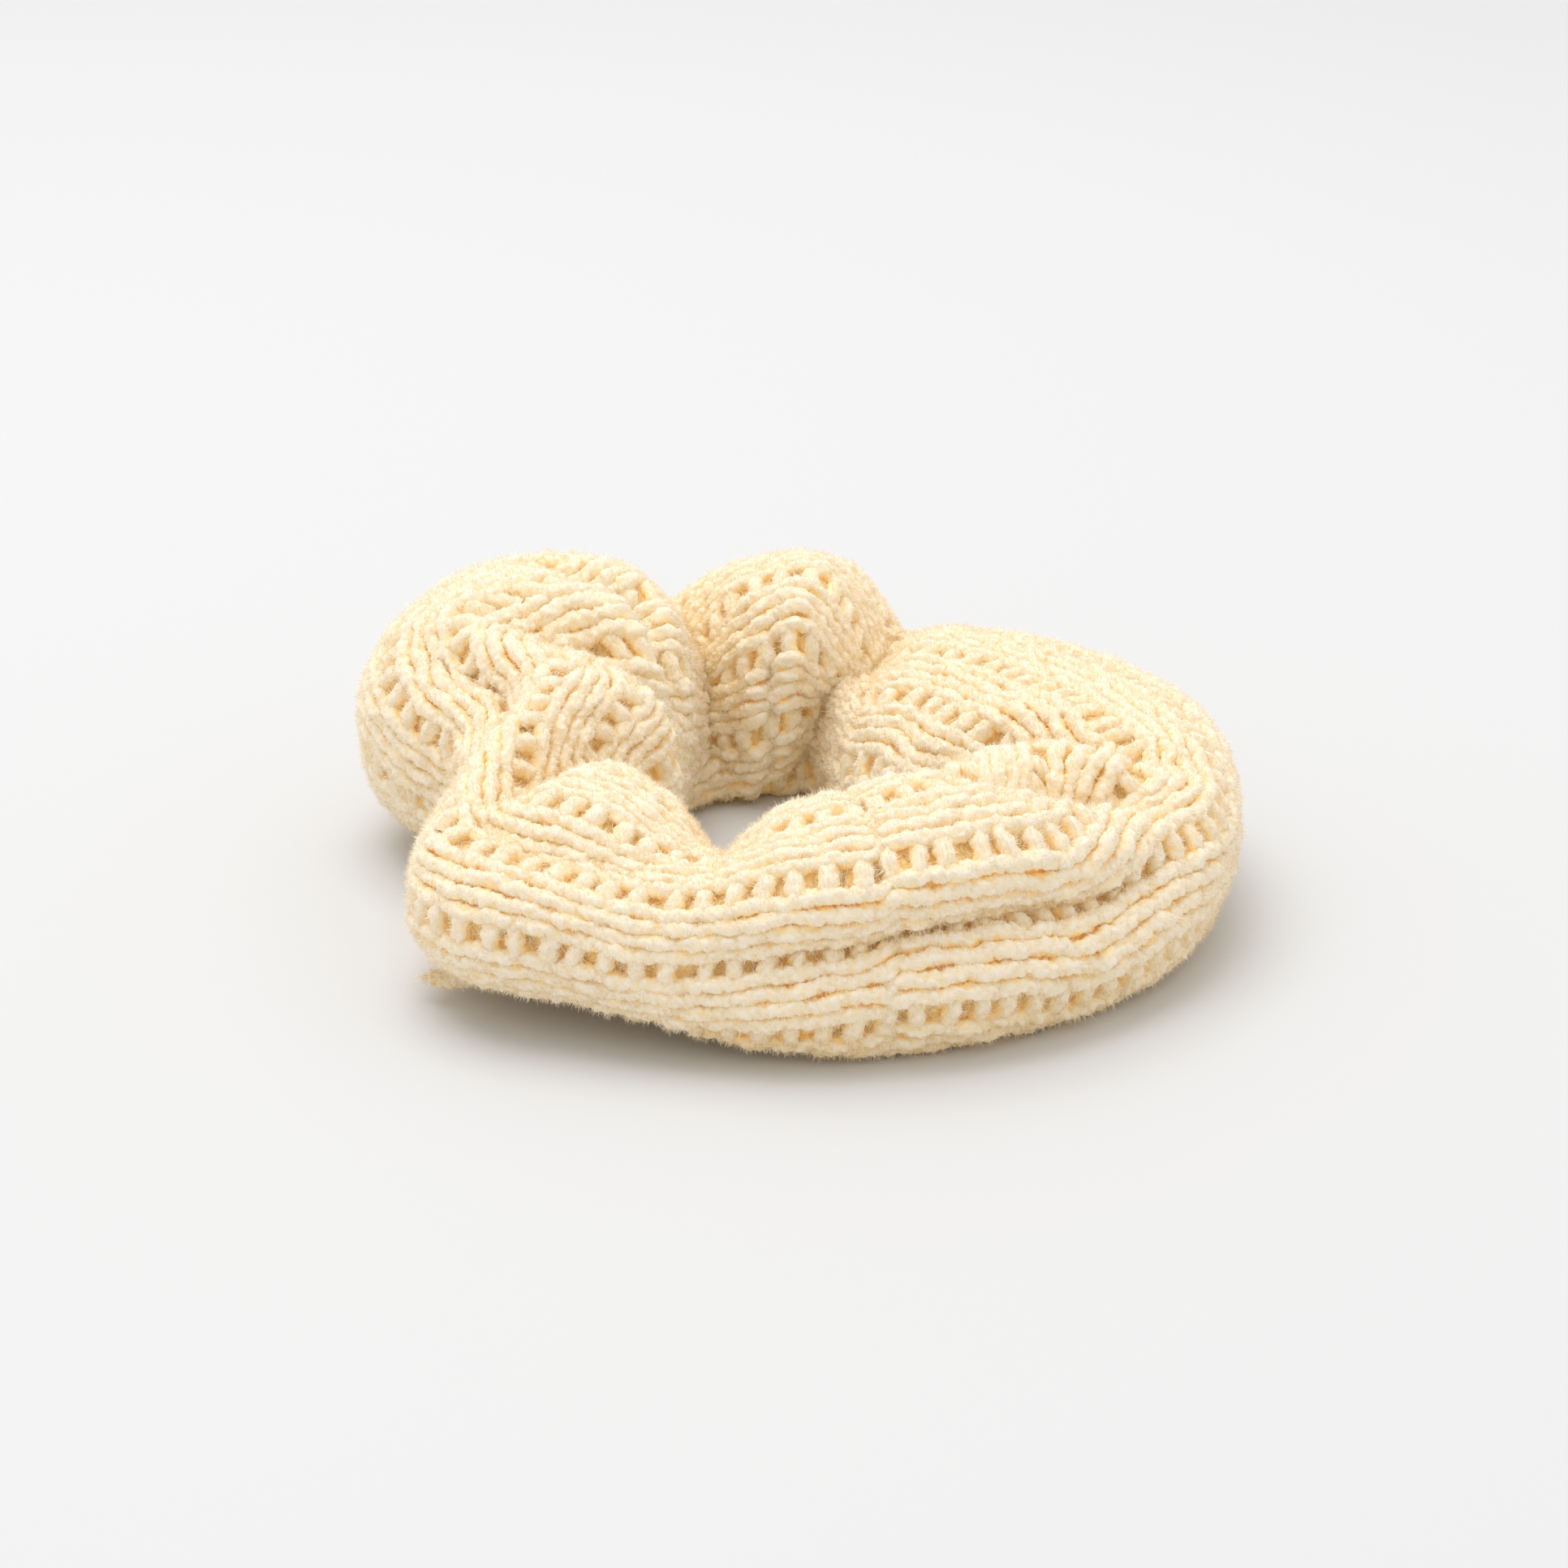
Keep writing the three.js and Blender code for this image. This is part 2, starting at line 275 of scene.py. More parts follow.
def fold_depth(angle, turn, radius, girth_radius, half_width, places):
    """How deep one fold is pressed in at each spot of the sleeve."""
    legs = len(places) - 1
    steps = np.linspace(0, legs, FOLD_STEPS * legs + 1)
    angles, turns, depths = (np.interp(steps, range(len(places)), column) for column in zip(*places))
    sink = np.zeros(angle.shape)
    for fold_angle, fold_turn, depth in zip(angles, turns, depths):
        along = np.radians((angle - fold_angle + 180) % 360 - 180) * radius
        around = np.radians(turn - fold_turn) * girth_radius
        rim = np.clip(1 - np.hypot(along, around) / half_width, 0, 1)
        shape = rim**VALLEY_SHARPNESS if depth > 0 else rim * rim * (3 - 2 * rim)
        sink = np.where(np.abs(depth) * shape > np.abs(sink), depth * shape, sink)
    return sink


def sleeve_grid():
    """Points of the sleeve's skin, [station round the ring, place round the tube]."""
    stations = STATIONS // 2
    angle = np.linspace(0, 360, stations, endpoint=False)[:, None] + np.zeros((1, RAW_SIDES))
    turn = np.linspace(-90, 270, RAW_SIDES, endpoint=False)[None, :] + np.zeros((stations, 1))
    inner, outer, under, top = (ring_value(angle, column) for column in (1, 2, 3, 4))
    middle, half_width = (inner + outer) / 2, (outer - inner) / 2
    half_height = (top - under + FLAT_DROP) / 2
    across = half_width * squared(np.cos(np.radians(turn)))
    up = half_height * squared(np.sin(np.radians(turn)))
    girth_radius = (half_width + half_height) / 2
    valleys, ridges = np.zeros(angle.shape), np.zeros(angle.shape)
    for fold_width, places in FOLDS:
        depth = fold_depth(angle, turn, middle + across, girth_radius, fold_width, places)
        valleys = np.maximum(valleys, depth)
        ridges = np.minimum(ridges, depth)
    shrink = 1 - np.minimum((valleys + ridges) / np.hypot(across, up), DEEPEST_SHRINK)
    radius = middle + across * shrink
    height = top - half_height + up * shrink
    floor = under + CORD_RADIUS
    above = height - floor
    height = floor + 0.5 * (above + np.sqrt(above**2 + FLOOR_ROUNDING**2))
    radius = radius + ring_value(angle, 1, LEAN) * np.clip(height / top, 0, 1) ** 2
    points = np.stack([radius * np.cos(np.radians(angle)),
                       radius * np.sin(np.radians(angle)), height], -1)
    return evenly_round(points)


def evenly_round(points):
    """The same skin with places an equal arc apart round each section, and twice the stations."""
    closed = np.concatenate([points, points[:, :1]], 1)
    steps = np.linalg.norm(np.diff(closed, axis=1), axis=2)
    arc = np.concatenate([np.zeros((len(points), 1)), np.cumsum(steps, 1)], 1)
    raw = np.arange(closed.shape[1], dtype=float)
    places = np.empty((len(points), SIDES))
    for i, length in enumerate(arc):
        places[i] = np.interp(np.arange(SIDES) / SIDES * length[-1], length, raw)
    places = blurred(places, 0, PLACE_BLUR)
    even = np.empty((len(points), SIDES, 3))
    for i, row in enumerate(closed):
        for axis in range(3):
            even[i, :, axis] = np.interp(places[i] % (len(raw) - 1), raw, row[:, axis])
    finer = np.empty((2 * len(points), SIDES, 3))
    finer[0::2] = even
    finer[1::2] = (even + np.roll(even, -1, 0)) / 2
    return blurred(blurred(finer, 0, SKIN_BLUR[0]), 1, SKIN_BLUR[1])


def blurred(values, axis, reach):
    """Values averaged with their neighbours along an axis that closes on itself."""
    far = math.ceil(2.5 * reach)
    weights = np.exp(-0.5 * (np.arange(-far, far + 1) / reach) ** 2)
    total = sum(w * np.roll(values, k - far, axis) for k, w in enumerate(weights))
    return total / weights.sum()


def normals_of(grid):
    """Outward unit normals of a grid that closes both ways."""
    along = np.roll(grid, -1, 0) - np.roll(grid, 1, 0)
    around = np.roll(grid, -1, 1) - np.roll(grid, 1, 1)
    normal = np.cross(along, around)
    return normal / np.linalg.norm(normal, axis=2, keepdims=True)


def grid_at(grid, u, v):
    """Values of a periodic grid at station u and place v, both in grid steps."""
    i, j = np.floor(u).astype(int), np.floor(v).astype(int)
    s, t = (u - i)[..., None], (v - j)[..., None]
    i0, i1 = i % grid.shape[0], (i + 1) % grid.shape[0]
    j0, j1 = j % grid.shape[1], (j + 1) % grid.shape[1]
    return ((1 - s) * (1 - t) * grid[i0, j0] + s * (1 - t) * grid[i1, j0]
            + (1 - s) * t * grid[i0, j1] + s * t * grid[i1, j1])


SKIN = sleeve_grid()
NORMALS = normals_of(SKIN)


def skin_at(u, v, lift=0.0):
    """Points over the sleeve's skin and their outward normals."""
    normal = grid_at(NORMALS, u, v)
    normal = normal / np.linalg.norm(normal, axis=-1, keepdims=True)
    return grid_at(SKIN, u, v) + np.asarray(lift)[..., None] * normal, normal


# ---------- uneven surfaces ----------
def lumps(points, cell, seed):
    """Smooth random values from -1 to 1 at points, with lumps about one cell wide."""
    lattice = np.random.default_rng(seed).uniform(-1, 1, (LATTICE, LATTICE, LATTICE))
    scaled = points / cell
    corner = np.floor(scaled).astype(int)
    t = scaled - corner
    t = t * t * (3 - 2 * t)
    total = 0
    for dx in (0, 1):
        for dy in (0, 1):
            for dz in (0, 1):
                weight = ((t[..., 0] if dx else 1 - t[..., 0])
                          * (t[..., 1] if dy else 1 - t[..., 1])
                          * (t[..., 2] if dz else 1 - t[..., 2]))
                at = (corner + (dx, dy, dz)) % LATTICE
                total = total + weight * lattice[at[..., 0], at[..., 1], at[..., 2]]
    return total


def tufts(points, cell, seed):
    """How near each point is to the middle of a pile tuft: 1 at a middle, 0 between tufts."""
    shifts = np.random.default_rng(seed).uniform(0, 1, (LATTICE, LATTICE, LATTICE, 3))
    scaled = points / cell
    corner = np.floor(scaled).astype(int)
    nearest = np.full(points.shape[:-1], np.inf)
    for dx in (-1, 0, 1):
        for dy in (-1, 0, 1):
            for dz in (-1, 0, 1):
                cube = corner + (dx, dy, dz)
                at = cube % LATTICE
                middle = cube + shifts[at[..., 0], at[..., 1], at[..., 2]]
                nearest = np.minimum(nearest, ((middle - scaled) ** 2).sum(-1))
    return np.clip(1 - np.sqrt(nearest), 0, 1)


# ---------- meshes ----------
class Cloth:
    """Points, quads and one painted shade value a point, gathered from many small parts."""

    def __init__(self):
        self.points, self.quads, self.shades, self.count = [], [], [], 0

    def add(self, points, quads, shades):
        """Takes in one part, raised where it would touch the table."""
        points = points.reshape(-1, 3)
        points[:, 2] = np.maximum(points[:, 2], TABLE_GAP)
        self.points.append(points)
        self.quads.append(quads.reshape(-1, 4) + self.count)
        self.shades.append(shades.ravel())
        self.count += len(points)

    def by_portion(self):
        """The cloth cut at the middle of each sliding portion: number, points, quads, shades."""
        points, quads = np.concatenate(self.points), np.concatenate(self.quads)
        shades = np.concatenate(self.shades)
        centre = points[quads].mean(1)
        angle = np.degrees(np.arctan2(centre[:, 1], centre[:, 0])) - CLOSING_SEAM_ANGLE
        owner = (angle % 360 // PORTION_ANGLE).astype(int)
        for k in range(PORTIONS):
            used, index = np.unique(quads[owner == k], return_inverse=True)
            yield k, points[used], index.reshape(-1, 4), shades[used]


def grid_quads(rows, columns, closed_rows, closed_columns):
    """Quads of a grid of points, [row, column], that may close either way."""
    index = np.arange(rows * columns).reshape(rows, columns)
    if closed_rows:
        index = np.concatenate([index, index[:1]])
    if closed_columns:
        index = np.concatenate([index, index[:, :1]], 1)
    return np.stack([index[:-1, :-1], index[:-1, 1:], index[1:, 1:], index[1:, :-1]], -1)


def make_piece(name, points, quads, material, shades):
    """A mesh object of quads, with a painted shade value at each point for its material."""
    mesh = bpy.data.meshes.new(name)
    mesh.vertices.add(len(points))
    mesh.vertices.foreach_set("co", (points * MM).astype(np.float32).ravel())
    mesh.loops.add(quads.size)
    mesh.loops.foreach_set("vertex_index", quads.astype(np.int32).ravel())
    mesh.polygons.add(len(quads))
    mesh.polygons.foreach_set("loop_start", np.arange(0, quads.size, 4, dtype=np.int32))
    mesh.update(calc_edges=True)
    mesh.shade_smooth()
    shade = mesh.attributes.new("shade", "FLOAT", "POINT")
    shade.data.foreach_set("value", shades.astype(np.float32))
    mesh.materials.append(material)
    piece = bpy.data.objects.new(name, mesh)
    bpy.context.scene.collection.objects.link(piece)
    return piece


# ---------- pieces for the sliding portions of the ring ---
def body_name(k):
    """The body of sliding portion k; the first and the last meet at the closing seam."""
    if k == 0:
        return "portion_start"
    return "portion_end" if k == PORTIONS else f"portion_{k:02d}"


def loop_point(k):
    """The middle of portion k, on the circle through all their middles."""
    angle = math.radians(CLOSING_SEAM_ANGLE + k * PORTION_ANGLE)
    return Vector((LOOP_RADIUS * math.cos(angle), LOOP_RADIUS * math.sin(angle), 0))


def blend_span(k):
    """The start and end of the stretchy part between bodies k and k + 1."""
    middle = (loop_point(k) + loop_point(k + 1)) / 2
    along = (loop_point(k + 1) - loop_point(k)).normalized()
    half_turn = math.radians(PORTION_ANGLE / 2)
    edges = [ring_value(CLOSING_SEAM_ANGLE + end * PORTION_ANGLE, 1) for end in (k, k + 1)]
    half = BLEND_SHARE * (float(min(edges)) + BLEND_MARGIN) * math.sin(half_turn)
    return middle - along * half, middle + along * half


def stretch_with(piece, k):
    """Bakes a piece's transform into its mesh; the span from the middle of portion k to the middle of
    the next is worked out but not used.
    """
    start, end = blend_span(k)
    body_name(k)
    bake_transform(piece)


def portion_pieces(name, cloth, material, replaces=None):
    """The cloth as twelve pieces, one from the middle of each sliding portion to the middle of the
    next, with their transforms baked.
    """
    pieces = []
    for k, points, quads, shades in cloth.by_portion():
        piece = make_piece(f"{name}_{k + 1:02d}", points, quads, material, shades)
        stretch_with(piece, k)
        if replaces:
            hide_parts(*[body_name(n).replace("portion", replaces) for n in (k, k + 1)])
        pieces.append(piece)
    return pieces


# ---------- cords, pile and threads ----------
def chenille_tube(path, outward, radius, sides, closed, rng):
    """The core of a chenille cord along a path: its points, [place, side], quads and shades."""
    if closed:
        legs = np.roll(path, -1, 0) - path
        tangent = np.roll(path, -1, 0) - np.roll(path, 1, 0)
    else:
        legs = np.diff(path, axis=0, append=path[-1:])
        tangent = np.gradient(path, axis=0)
    at = np.cumsum(np.linalg.norm(legs, axis=1))
    side = np.cross(tangent, outward)
    side /= np.linalg.norm(side, axis=1, keepdims=True)
    out = np.cross(side, tangent)
    out /= np.linalg.norm(out, axis=1, keepdims=True)
    phi = np.linspace(0, 2 * np.pi, sides, endpoint=False)[None, :, None]
    around = np.cos(phi) * out[:, None] + np.sin(phi) * side[:, None]
    swell = pile_swell(at, phi[0, :, 0], radius, rng)
    points = path[:, None] + (radius[:, None] * swell)[..., None] * around
    # Painted shade: golden low at the sides between the cords, painted lighter on the outward side
    # and on clumps.
    shades = SHADE_AT_SIDES + SHADE_OUTWARD * np.cos(phi[..., 0]) + SHADE_OF_CLUMPS * (swell - 1)
    return points, grid_quads(len(path), sides, closed, True), np.clip(shades, 0, 1)


def pile_swell(at, phi, radius, rng):
    """How far the clumped pile stands out round a cord, as parts of its radius."""
    shift = rng.uniform(0, 30, 3)
    ring = np.stack(np.broadcast_arrays(
        at[:, None] / CLUMP_WIDTH,
        np.cos(phi)[None] * radius[:, None] / CLUMP_WIDTH,
        np.sin(phi)[None] * radius[:, None] / CLUMP_WIDTH,
    ), -1) + shift
    clumps = CLUMP_SWELL * (tufts(ring, cell=1.0, seed=11) - CLUMP_MIDDLE)
    return 1 + clumps + GRAIN_SWELL * lumps(ring, cell=GRAIN_SIZE, seed=12)


def pile(core, path, rng):
    """Tapered fibres that stand on the outward side of a cord's core: points, quads, shades."""
    points, _, shades = core
    places, sides = points.shape[:2]
    step = np.linalg.norm(points[1:, 0] - points[:-1, 0], axis=1).mean()
    radius = np.linalg.norm(points - path[:, None], axis=2).mean()
    count = int(PILE_PER_MM2 * places * step * 2 * math.pi * radius * PILE_SHARE)
    i = rng.integers(0, places - 1, count)
    j = rng.normal(0, PILE_SPREAD * sides * PILE_SHARE, count).round().astype(int) % sides
    s = rng.random((count, 1))
    root = points[i, j] * (1 - s) + points[i + 1, j] * s
    out = root - path[i] * (1 - s) - path[i + 1] * s
    out /= np.linalg.norm(out, axis=1, keepdims=True)
    lean = np.cross(out, rng.normal(0, 1, (count, 3)))
    lean /= np.linalg.norm(lean, axis=1, keepdims=True)
    slope = rng.uniform(*PILE_SLOPE, (count, 1))
    along = np.cos(slope) * out + np.sin(slope) * lean
    across = np.cross(along, out)
    across *= PILE_WIDTH / 2 / np.linalg.norm(across, axis=1, keepdims=True)
    longer_outside = 0.6 + 0.8 * shades[i, j][:, None]
    tip = root + along * rng.uniform(*PILE_LENGTH, (count, 1)) * longer_outside
    root = root - PILE_SUNK * out
    quads = np.arange(4 * count).reshape(count, 4)
    blades = np.stack([root - across, root + across,
                       tip + PILE_TAPER * across, tip - PILE_TAPER * across], 1)
    # Painted shade of each fibre: its root's value, painted lighter at the tip.
    base = shades[i, j] + rng.uniform(-SHADE_SPREAD, SHADE_SPREAD, count)
    top = base + SHADE_OF_TIPS
    return blades, quads, np.clip(np.stack([base, base, top, top], 1), 0, 1)


def even_steps(v, step):
    """Stations one step (mm) apart along a closed line on the skin, and how far along each is."""
    u = np.arange(STATIONS, dtype=float)
    path = grid_at(SKIN, u, v)
    legs = np.linalg.norm(np.roll(path, -1, 0) - path, axis=1)
    length = np.concatenate([[0], np.cumsum(legs)])
    count = int(round(length[-1] / step))
    at = np.arange(count) * length[-1] / count
    return np.interp(at, length, np.append(u, STATIONS)), at


def wander(at, wavelength, size, rng):
    """A random swing along a closed path, made of three waves, from the shortest wavelength up."""
    total = at[-1]
    swing = np.zeros(len(at))
    for longer in (1.0, 1.7, 2.9):
        turns = max(1, round(total / (wavelength * longer)))
        swing += np.sin(2 * np.pi * (turns * at / total + rng.random())) / longer**0.3
    return size * swing / 1.7


def knit_place(row, offset, u):
    """Where a line of the knit lies round the tube at stations u, in grid steps."""
    angle = np.asarray(u) * 360 / STATIONS
    past_seam = (angle - CLOSING_SEAM_ANGLE + 180) % 360 - 180
    jog = SEAM_JOG / 2 * np.tanh(past_seam / JOG_STEP) * np.exp(-np.abs(past_seam) / JOG_FADE)
    turned = ring_value(angle, 1, KNIT_TURN)
    return (row + (offset + jog) / ROW_PITCH + turned) * SIDES / ROWS


def crowding(u):
    """How much thinner than usual the cords are at stations u, where the sleeve is slim."""
    legs = np.linalg.norm(np.roll(SKIN, -1, 1) - SKIN, axis=2).sum(1)
    return np.interp(u, np.arange(STATIONS), np.clip(legs / GIRTH, *CROWDING))


def knit_cord(row, cord, rng):
    """One chenille cord that runs right round the ring."""
    offset = LADDER_HEIGHT / 2 + (cord + 0.5) * CORD_PITCH
    u, at = even_steps(knit_place(row, offset, np.arange(STATIONS)), CORD_STEP)
    swing = wander(at, wavelength=7.0, size=0.26, rng=rng)
    swing = swing + wander(at, wavelength=2.3, size=0.10, rng=rng)
    lift = CORD_LIFT + wander(at, wavelength=5.0, size=0.18, rng=rng)
    path, outward = skin_at(u, knit_place(row, offset + swing, u), lift)
    radius = CORD_RADIUS * (1 + wander(at, wavelength=3.2, size=0.09, rng=rng)) * crowding(u)
    core = chenille_tube(path, outward, radius, CORD_SIDES, True, rng)
    return core, pile(core, path, rng)


def knit_bars(row, rng):
    """The short chenille bars of one ladder row."""
    u, at = even_steps(knit_place(row, 0.0, np.arange(STATIONS)), ROW_STEP)
    count = int(round(at[-1] / BAR_PITCH))
    along = np.linspace(-1, 1, BAR_POINTS)
    reach = LADDER_HEIGHT / 2 + BAR_OVERLAP
    lift = 0.1 - 0.45 * along**2
    for n in range(count):
        place = (n + rng.uniform(-0.12, 0.12)) % count / count * at[-1]
        station = np.interp(place, at, u)
        lean = rng.uniform(-BAR_LEAN, BAR_LEAN)
        turned = knit_place(row, along * reach, np.full(BAR_POINTS, station))
        path, outward = skin_at(station + lean * along, turned, lift)
        radius = BAR_RADIUS * rng.uniform(0.88, 1.12) * (1 + 0.1 * along**2)
        core = chenille_tube(path, outward, radius, BAR_SIDES, False, rng)
        yield core, pile(core, path, rng)


def make_cords():
    """The chenille cords that run right round the ring."""
    rng = np.random.default_rng(5)
    cords = Cloth()
    for row in range(ROWS):
        for cord in range(CORDS_BETWEEN):
            core, fibres = knit_cord(row, cord, rng)
            cords.add(*core)
            cords.add(*fibres)
    return cords


def make_bars():
    """The bars of all the ladder rows."""
    rng = np.random.default_rng(6)
    bars = Cloth()
    for row in range(ROWS):
        for core, fibres in knit_bars(row, rng):
            bars.add(*core)
            bars.add(*fibres)
    return bars


def make_ground():
    """The thin thread ground that shows in the windows of the ladder rows."""
    ground = Cloth()
    points = (SKIN - GROUND_DROP * NORMALS)[:, ::2]
    ground.add(points, grid_quads(*points.shape[:2], True, True), np.zeros(points.shape[:2]))
    return ground


def make_window_threads():
    """The crinkled core threads that cross the windows of the ladder rows."""
    rng = np.random.default_rng(7)
    threads = Cloth()
    for row in range(ROWS):
        u, at = even_steps(knit_place(row, 0.0, np.arange(STATIONS)), ROW_STEP)
        for place in np.arange(0, at[-1], WINDOW_THREAD_SPACING):
            threads.add(*window_thread(row, place, u, at, rng))
    return threads


def window_thread(row, place, u, at, rng):
    """One crinkled core thread across a ladder row, at a place (mm) along it."""
    station = np.interp(place + rng.uniform(-0.4, 0.4), at, u)
    along = np.linspace(-1, 1, WINDOW_THREAD_POINTS)
    crinkle = np.cumsum(rng.normal(0, 0.22, WINDOW_THREAD_POINTS))
    slant = 0
    if rng.random() < SLANTED_SHARE:
        slant = rng.uniform(-1, 1) * LADDER_HEIGHT / 2 * along[::-1]
    across = along * LADDER_HEIGHT / 2 + rng.normal(0, 0.12, WINDOW_THREAD_POINTS)
    turned = knit_place(row, across + slant, np.full(WINDOW_THREAD_POINTS, station))
    lift = rng.uniform(-0.5, 0.3) + rng.normal(0, 0.12, WINDOW_THREAD_POINTS)
    path, outward = skin_at(station + crinkle * STATIONS / LOOP_GIRTH, turned, lift)
    return plain_tube(path, outward, WINDOW_THREAD_RADIUS, 4, False)


def plain_tube(path, outward, radius, sides, closed):
    """A smooth tube along a path: its points, [place, side], quads and shades."""
    tangent = np.roll(path, -1, 0) - np.roll(path, 1, 0) if closed else np.gradient(path, axis=0)
    side = np.cross(tangent, outward)
    side /= np.linalg.norm(side, axis=1, keepdims=True)
    out = np.cross(side, tangent)
    out /= np.linalg.norm(out, axis=1, keepdims=True)
    phi = np.linspace(0, 2 * np.pi, sides, endpoint=False)[None, :, None]
    points = path[:, None] + radius * (np.cos(phi) * out[:, None] + np.sin(phi) * side[:, None])
    return points, grid_quads(len(path), sides, closed, True), np.ones(points.shape[:2])


# ---------- inside the sleeve ----------
def tube_middles():
    """A smooth closed path through the middle of the sleeve, at every other station."""
    return blurred(SKIN[::2].mean(1), 0, MIDDLE_BLUR)


def band_strip(path, width, thickness, ribs):
    """A flat woven band that stands upright along a closed path, with lengthwise ribs."""
    tangent = np.roll(path, -1, 0) - np.roll(path, 1, 0)
    out = np.cross(tangent, (0, 0, 1))
    out /= np.linalg.norm(out, axis=1, keepdims=True)
    across = np.linspace(-1, 1, 4 * ribs + 1)
    swell = thickness / 2 * (0.75 + 0.25 * np.cos(across * ribs * math.pi))
    swell *= np.sqrt(1 - 0.9 * across**8)
    rise = np.concatenate([across, across[::-1]]) * width / 2
    depth = np.concatenate([swell, -swell[::-1]])
    points = path[:, None] + depth[None, :, None] * out[:, None]
    points[..., 2] += rise
    return points, grid_quads(len(path), len(rise), True, True), np.ones(points.shape[:2])


def make_elastic():
    """The elastic that gathers the sleeve, through its middle."""
    band = Cloth()
    band.add(*band_strip(tube_middles(), ELASTIC_WIDTH, ELASTIC_THICKNESS, ELASTIC_RIBS))
    return band


def make_lengthwise_seam():
    """The two knit edges sewn together inside the sleeve, with the overlock thread round them."""
    rng = np.random.default_rng(8)
    seam = Cloth()
    u = np.arange(0, STATIONS, 0.5)
    for side in (-SEAM_CORD_RADIUS, SEAM_CORD_RADIUS):
        place = np.full(len(u), SEAM_PLACE * SIDES + side * SIDES / GIRTH)
        path, outward = skin_at(u, place, -SEAM_DEPTH)
        radius = np.full(len(u), SEAM_CORD_RADIUS)
        seam.add(*chenille_tube(path, outward, radius, 10, True, rng))
    loops = np.arange(0, 2 * math.pi * OVERLOCK_TURNS, 0.7)
    half_width, half_height = OVERLOCK_REACH
    station = loops / loops[-1] * STATIONS
    place = SEAM_PLACE * SIDES + half_width * np.sin(loops) * SIDES / GIRTH
    path, outward = skin_at(station, place, -SEAM_DEPTH + half_height * np.cos(loops))
    seam.add(*plain_tube(path[:-1], outward[:-1], OVERLOCK_RADIUS, 5, True))
    return seam


def make_elastic_stitch():
    """The bar tack that holds the overlapped ends of the elastic."""
    middles = tube_middles()
    angle = CLOSING_SEAM_ANGLE + ELASTIC_JOIN_PORTION * PORTION_ANGLE
    station = int(round(angle * len(middles) / 360)) % len(middles)
    centre, ahead = middles[station], middles[station + 1] - middles[station]
    ahead /= np.linalg.norm(ahead)
    out = np.cross(ahead, (0, 0, 1))
    zigzag = np.where(np.arange(TACK_POINTS) % 2, 1.0, -1.0)[:, None] * TACK_HALF_WIDTH
    rise = (np.linspace(0, 1, TACK_POINTS) - 0.5) * ELASTIC_WIDTH * 0.8
    stitch = Cloth()
    for face in (-1, 1):
        path = centre + zigzag * ahead + face * (ELASTIC_THICKNESS / 2 + 0.1) * out
        path[:, 2] += rise
        path = rounded_path(path, 6)
        stitch.add(*plain_tube(path, np.tile(out, (len(path), 1)), TACK_THREAD_RADIUS, 8, False))
    return stitch


def rounded_path(points, parts):
    """A path through points, with parts steps between each two of them, smooth at its turns."""
    fine = np.linspace(0, len(points) - 1, parts * (len(points) - 1) + 1)
    line = np.stack([np.interp(fine, range(len(points)), column) for column in points.T], 1)
    padded = np.concatenate([line[:1]] * 2 + [line] + [line[-1:]] * 2)
    shifted = [padded[k:k + len(line)] for k in range(5)]
    return sum(shifted) / len(shifted)


# ---------- at the ends of the knit ----------
def make_closing_thread():
    """Whip stitches of the thread that joins the two ends of the sleeve."""
    rng = np.random.default_rng(9)
    thread = Cloth()
    seam_station = (CLOSING_SEAM_ANGLE % 360) / 360 * STATIONS
    swing = np.linspace(-1, 1, 9)
    for place in np.arange(*WHIP_SPAN, WHIP_SPACING) * SIDES:
        half_length = WHIP_LENGTH + rng.uniform(-0.6, 0.6)
        station = seam_station + swing * half_length + rng.normal(0, 0.2)
        lift = 1.0 - 2.0 * swing**2 + rng.normal(0, 0.12)
        path, outward = skin_at(station, place + swing * rng.uniform(1.5, 4.0), lift)
        thread.add(*plain_tube(path, outward, WHIP_RADIUS, 6, False))
    return thread


def make_tail():
    """The loose end of chenille yarn, frayed at its tip."""
    rng = np.random.default_rng(10)
    tail = Cloth()
    path = rounded_path(np.array(YARN_TAIL), 16)
    # The tail's painted lighter side faces this way, to the front and up.
    up = np.tile((-0.4, -0.7, 0.6), (len(path), 1))
    radius = np.interp(np.linspace(0, 1, len(path)), *TAIL_RADII)
    core = chenille_tube(path, up, radius, CORD_SIDES, False, rng)
    points, quads, shades = core
    tail.add(points, quads, shades + TAIL_PAINTED_LIGHTER)
    for _ in range(2):
        tail.add(*pile(core, path, rng))
    ahead = path[-1] - path[-4]
    ahead /= np.linalg.norm(ahead)
    for _ in range(FRAYED_STRANDS):
        way = ahead + rng.normal(0, 0.35, 3) * (1, 1, 0.4)
        strand = path[-3] + np.outer(np.linspace(0, rng.uniform(0.8, 2.2), 6), way)
        strand += np.cumsum(rng.normal(0, 0.08, (6, 3)), 0)
        strand[:, 2] = np.maximum(strand[:, 2], 0.15)
        tail.add(*plain_tube(strand, up[:6], FRAYED_RADIUS, 4, False))
    return tail


# ---------- materials ----------
PAINTED_SHADE_REACH = 0.012         # how far off pile still casts painted warm shade on a spot, in metres
MIX_COLOUR_A = 6              # sockets of a Mix node that mixes colours
MIX_COLOUR_B = 7
MIX_COLOUR_OUT = 2


